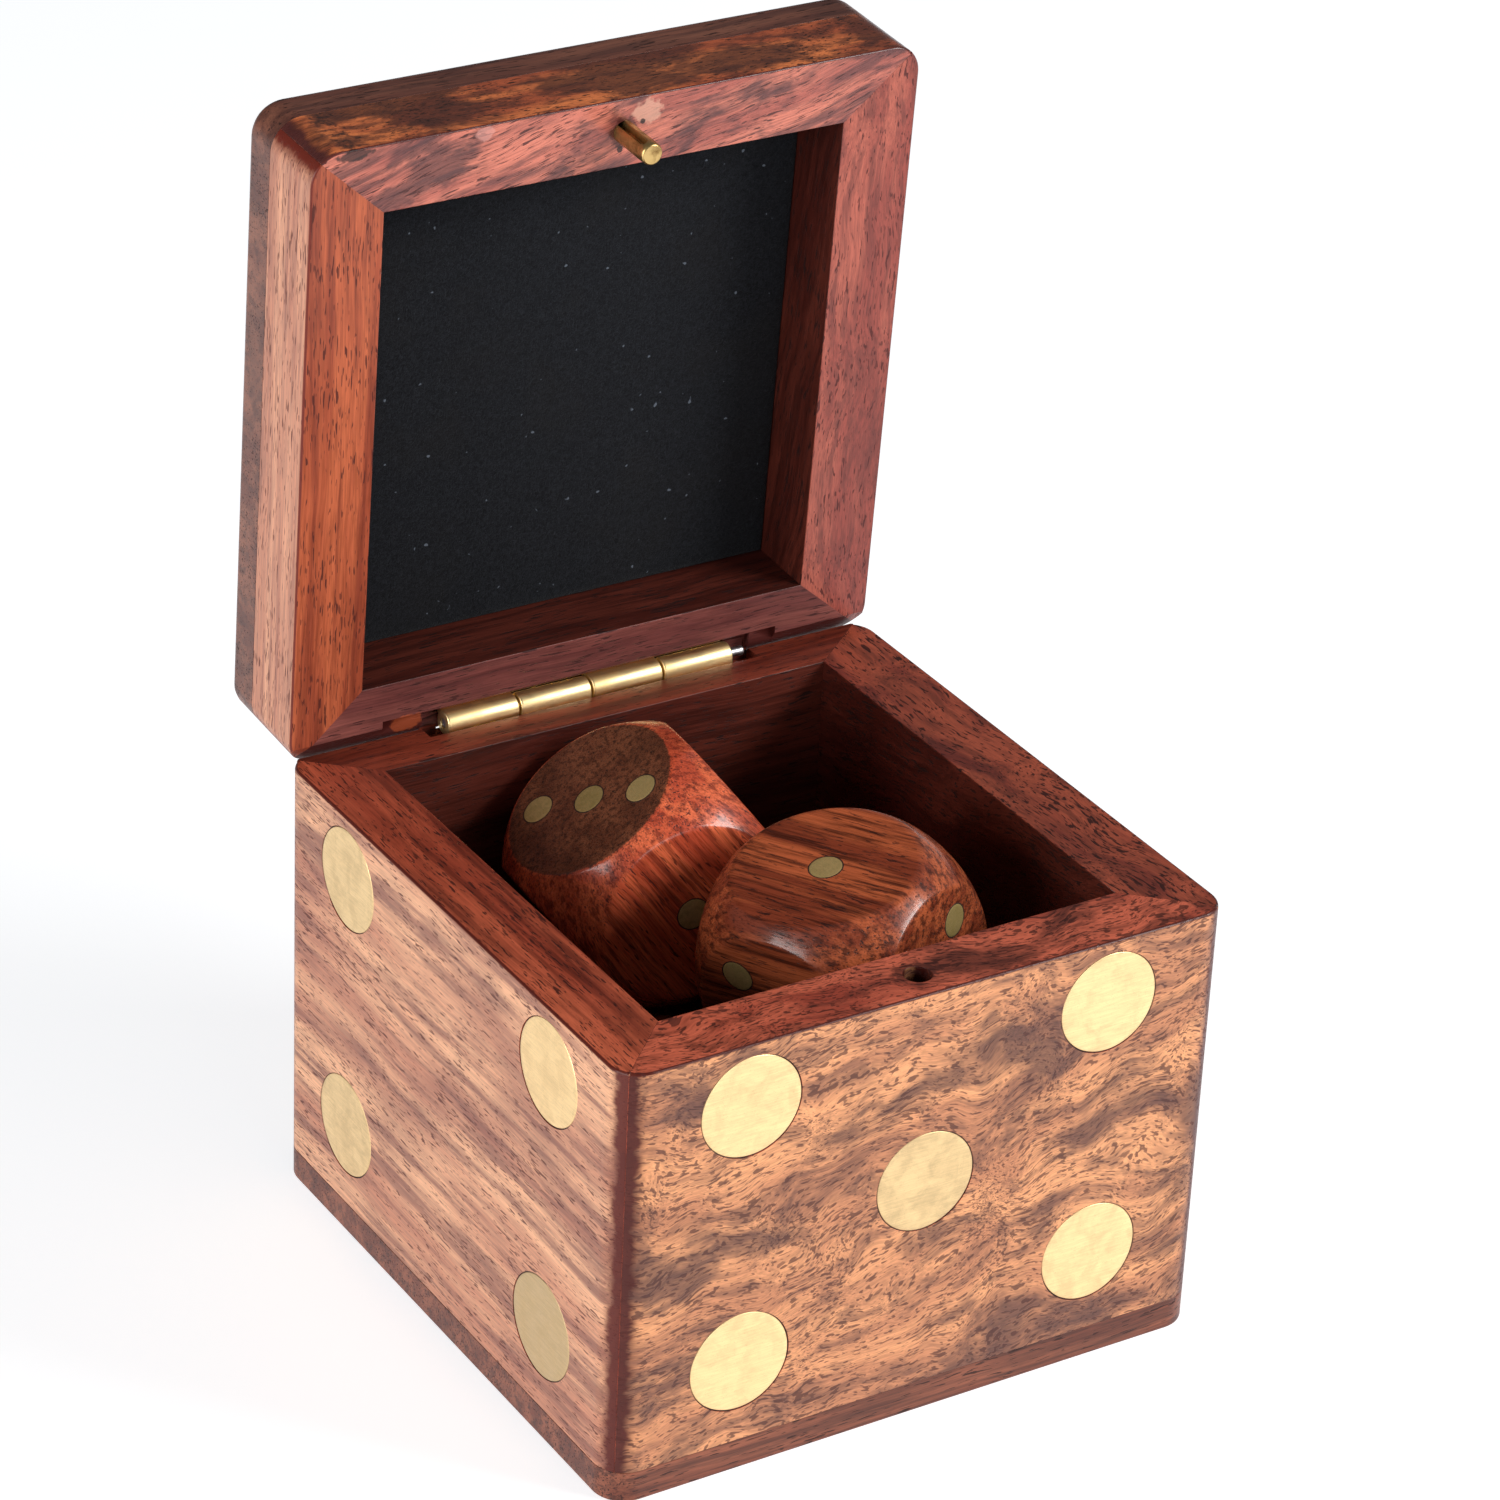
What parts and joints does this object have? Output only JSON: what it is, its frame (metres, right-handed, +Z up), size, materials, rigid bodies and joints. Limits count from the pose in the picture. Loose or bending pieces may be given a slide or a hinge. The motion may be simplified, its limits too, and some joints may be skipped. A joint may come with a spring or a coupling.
{
  "type": "dice box with hinged lid",
  "caption": "Square wooden box made like a large die, with inlaid brass pips, a brass hinge and catch peg on its lid, felt lining and loose round-cornered wooden dice inside.",
  "frame": {"origin": "centre of the underside of the box's base plate, which stands on the table", "axes": "+Z up, +X to the right seen from the front, +Y to the back, towards the hinge; the lid is open at rest"},
  "size_m": [0.0616, 0.0724, 0.1049],
  "materials": {
    "wood_front": "oiled and polished figured rosewood, satin gloss",
    "wood_side": "oiled and polished straight-grained rosewood, satin gloss",
    "wood_base": "oiled and polished dark rosewood, satin gloss",
    "wood_dice": "polished red-brown rosewood, glossy",
    "brass_pips": "sanded flush, finely brushed",
    "brass_hinge": "bright polished",
    "steel_pin": "drawn wire",
    "felt": "matt black felt"
  },
  "bodies": {
    "box": {"base_plate": "wood_base", "front_wall": "wood_front", "back_wall": "wood_side", "left_wall": "wood_side", "right_wall": "wood_front", "floor_lining": "felt", "front_pips": "brass_pips", "left_pips": "brass_pips", "right_pips": "brass_pips", "back_pips": "brass_pips", "hinge_leaf_box": "brass_hinge", "hinge_pin": "steel_pin"},
    "lid": {"lid_panel": "wood_base", "lid_front_wall": "wood_front", "lid_back_wall": "wood_side", "lid_left_wall": "wood_side", "lid_right_wall": "wood_front", "lid_lining": "felt", "lid_pips": "brass_pips", "hinge_leaf_lid": "brass_hinge", "catch_peg": "brass_hinge"},
    "loose_die_1": {"die_1": "wood_dice", "die_1_pips": "brass_pips"},
    "loose_die_2": {"die_2": "wood_dice", "die_2_pips": "brass_pips"},
    "loose_die_3": {"die_3": "wood_dice", "die_3_pips": "brass_pips"},
    "loose_die_4": {"die_4": "wood_dice", "die_4_pips": "brass_pips"},
    "loose_die_5": {"die_5": "wood_dice", "die_5_pips": "brass_pips"}
  },
  "joints": [
    {"name": "lid_hinge", "type": "hinge", "parent": "box", "child": "lid", "pos_m": [0, 0.0297, 0.04385], "axis": [1, 0, 0], "range_deg": [0, 86.3]},
    {"name": "die_1_lift", "type": "slide", "parent": "box", "child": "loose_die_1", "axis": [0, 0, 1], "range_m": [0, 0.053]},
    {"name": "die_2_lift", "type": "slide", "parent": "loose_die_1", "child": "loose_die_2", "axis": [0, 0, 1], "range_m": [0, 0.053]},
    {"name": "die_3_lift", "type": "slide", "parent": "loose_die_2", "child": "loose_die_3", "axis": [0, 0, 1], "range_m": [0, 0.053]},
    {"name": "die_4_lift", "type": "slide", "parent": "loose_die_3", "child": "loose_die_4", "axis": [0, 0, 1], "range_m": [0, 0.036]},
    {"name": "die_5_lift", "type": "slide", "parent": "loose_die_4", "child": "loose_die_5", "axis": [0, 0, 1], "range_m": [0, 0.036]}
  ]
}
